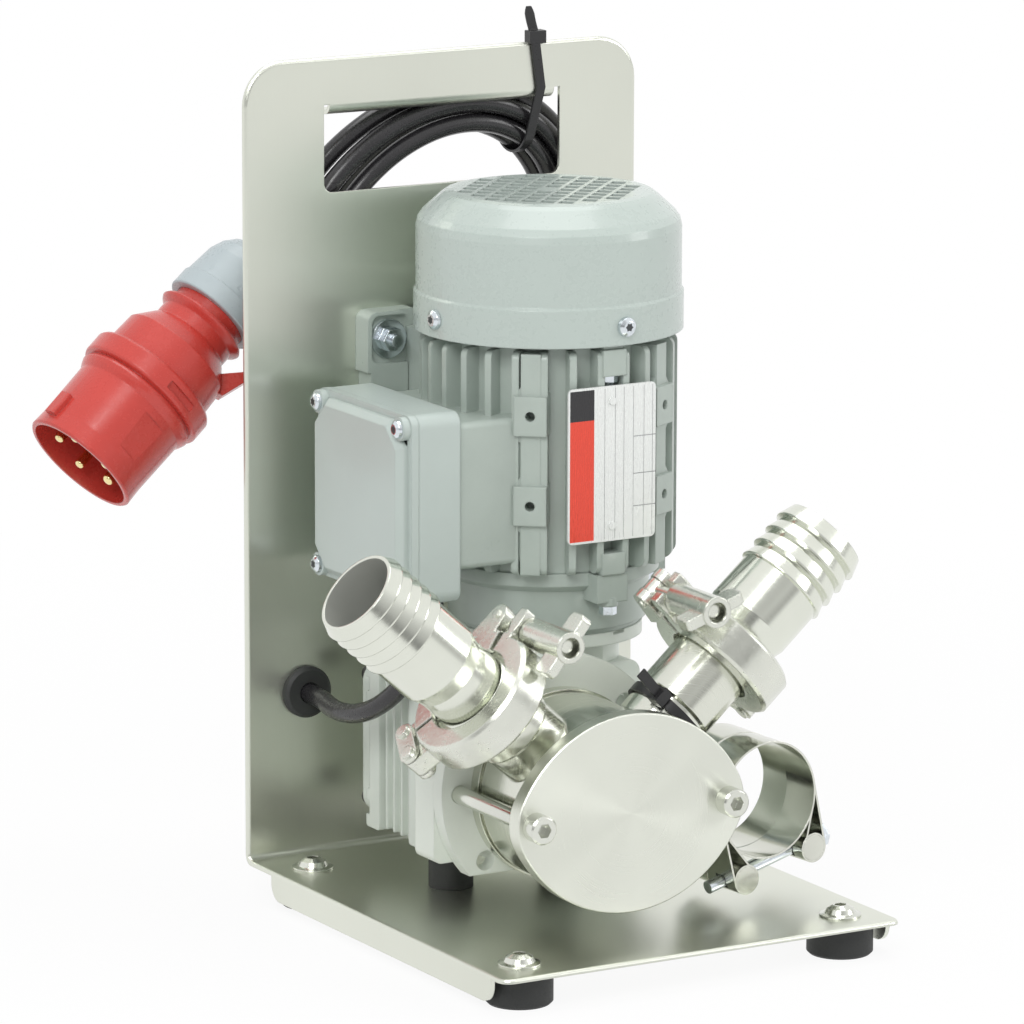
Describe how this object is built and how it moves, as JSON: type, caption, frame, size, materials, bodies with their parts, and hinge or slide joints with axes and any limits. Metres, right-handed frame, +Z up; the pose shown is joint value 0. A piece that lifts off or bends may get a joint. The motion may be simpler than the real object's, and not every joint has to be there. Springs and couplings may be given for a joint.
{
  "type": "honey pump",
  "caption": "Flexible-impeller pump with V-set hose ports, driven through a worm reducer by an upright motor on a bent sheet frame with a handle slot.",
  "frame": {"origin": "on the floor under the middle of the footprint, in the pump's vertical middle plane", "axes": "+Z up; -Y is the pump cover's side; +X is the motor's side"},
  "size_m": [0.297, 0.3161, 0.4111],
  "materials": {
    "stainless_sheet": "bead-blasted stainless sheet",
    "stainless_turned": "turned and ground stainless",
    "stainless_cast": "tumbled investment-cast stainless",
    "stainless_band": "rolled stainless band",
    "stainless_bolt": "bright stainless fasteners",
    "zinc": "bright zinc plate",
    "black_bolt": "blackened steel",
    "rubber_black": "matt black rubber",
    "reducer_paint": "painted die-cast aluminium",
    "motor_paint": "grey painted die-cast aluminium",
    "fan_cover_paint": "light grey painted steel sheet",
    "box_plastic": "grey moulded plastic",
    "gland_plastic": "dark grey nylon",
    "plate_foil": "silver plate without print",
    "bearing_steel": "ground bearing steel",
    "worm_steel": "hardened ground steel",
    "wheel_bronze": "cut bronze",
    "shaft_steel": "turned steel",
    "core_steel": "lacquered laminations and windings",
    "fan_plastic": "black moulded nylon",
    "impeller_rubber": "food-grade black rubber",
    "seal_rubber": "white seal rubber",
    "tie_black": "black nylon",
    "lead_black": "black rubber sheath",
    "plug_red": "red moulded plastic",
    "plug_grey": "light grey moulded plastic",
    "pin_brass": "bright brass"
  },
  "bodies": {
    "frame": {"frame_plate": "stainless_sheet", "pump_body": "stainless_turned", "pump_cover": "stainless_turned", "hose_tail_left": "stainless_turned", "hose_tail_right": "stainless_turned", "clamp_left_front_half": "stainless_cast", "clamp_left_rear_half": "stainless_cast", "clamp_left_link": "stainless_cast", "clamp_right_front_half": "stainless_cast", "clamp_right_rear_half": "stainless_cast", "clamp_right_link": "stainless_cast", "hose_clamp_front_band": "stainless_band", "hose_clamp_rear_band": "stainless_band", "hose_clamp_barrels": "stainless_band", "pump_cover_bolts": "stainless_bolt", "foot_screws": "stainless_bolt", "motor_foot_bolts": "zinc", "motor_screws": "zinc", "terminal_cover_screws": "zinc", "gearbox_screws": "black_bolt", "rubber_feet": "rubber_black", "gearbox_buffers": "rubber_black", "cable_grommet": "rubber_black", "gearbox_housing": "reducer_paint", "gearbox_cover": "reducer_paint", "output_flange": "reducer_paint", "motor_housing": "motor_paint", "motor_feet": "motor_paint", "drive_end_shield": "motor_paint", "fan_end_shield": "motor_paint", "fan_cover": "fan_cover_paint", "terminal_box": "box_plastic", "terminal_cover": "box_plastic", "cable_gland": "gland_plastic", "name_plate": "plate_foil", "ball_bearings": "bearing_steel", "stator_core": "core_steel", "cover_o_ring": "seal_rubber", "shaft_seal": "seal_rubber", "port_gaskets": "seal_rubber", "clamp_tie": "tie_black", "handle_tie": "tie_black", "power_lead": "lead_black", "plug_lead": "lead_black", "lead_coil": "lead_black", "plug_body": "plug_red", "plug_nut": "plug_grey", "plug_pins": "pin_brass"},
    "rotor": {"rotor_shaft": "shaft_steel", "cooling_fan": "fan_plastic", "worm": "worm_steel"},
    "drive": {"worm_wheel": "wheel_bronze", "pump_shaft": "shaft_steel", "impeller": "impeller_rubber"},
    "bolt_left": {"clamp_left_eye_bolt": "stainless_cast"},
    "nut_left": {"clamp_left_wing_nut": "stainless_cast"},
    "bolt_right": {"clamp_right_eye_bolt": "stainless_cast"},
    "nut_right": {"clamp_right_wing_nut": "stainless_cast"},
    "hose_screw_front": {"hose_clamp_front_screw": "zinc"},
    "hose_screw_rear": {"hose_clamp_rear_screw": "zinc"}
  },
  "joints": [
    {"name": "motor_spin", "type": "hinge", "parent": "frame", "child": "rotor", "pos_m": [0.04, 0.049, 0.2], "axis": [0, 0, 1], "continuous": true},
    {"name": "pump_spin", "type": "hinge", "parent": "frame", "child": "drive", "pos_m": [0, 0, 0.0748], "axis": [0, 1, 0], "continuous": true},
    {"name": "eye_bolt_left", "type": "hinge", "parent": "frame", "child": "bolt_left", "pos_m": [-0.03315, -0.043, 0.15353], "axis": [-0.749, 0, 0.6626], "range_deg": [0, 36]},
    {"name": "wing_nut_left", "type": "hinge", "parent": "bolt_left", "child": "nut_left", "pos_m": [-0.03315, -0.043, 0.15353], "axis": [0, -1, 0], "continuous": true},
    {"name": "eye_bolt_right", "type": "hinge", "parent": "frame", "child": "bolt_right", "pos_m": [0.04177, -0.043, 0.16115], "axis": [-0.749, 0, -0.6626], "range_deg": [0, 36]},
    {"name": "wing_nut_right", "type": "hinge", "parent": "bolt_right", "child": "nut_right", "pos_m": [0.04177, -0.043, 0.16115], "axis": [0, -1, 0], "continuous": true},
    {"name": "hose_screw_front", "type": "hinge", "parent": "frame", "child": "hose_screw_front", "pos_m": [0.08919, -0.06373, 0.03569], "axis": [0.967, 0.1016, 0.2334], "continuous": true},
    {"name": "hose_screw_rear", "type": "hinge", "parent": "frame", "child": "hose_screw_rear", "pos_m": [0.08967, -0.04074, 0.03504], "axis": [0.9718, 0.0339, 0.2334], "continuous": true}
  ],
  "couplings": [
    {"joint": "pump_spin", "follows": "motor_spin", "ratio": 0.1}
  ]
}
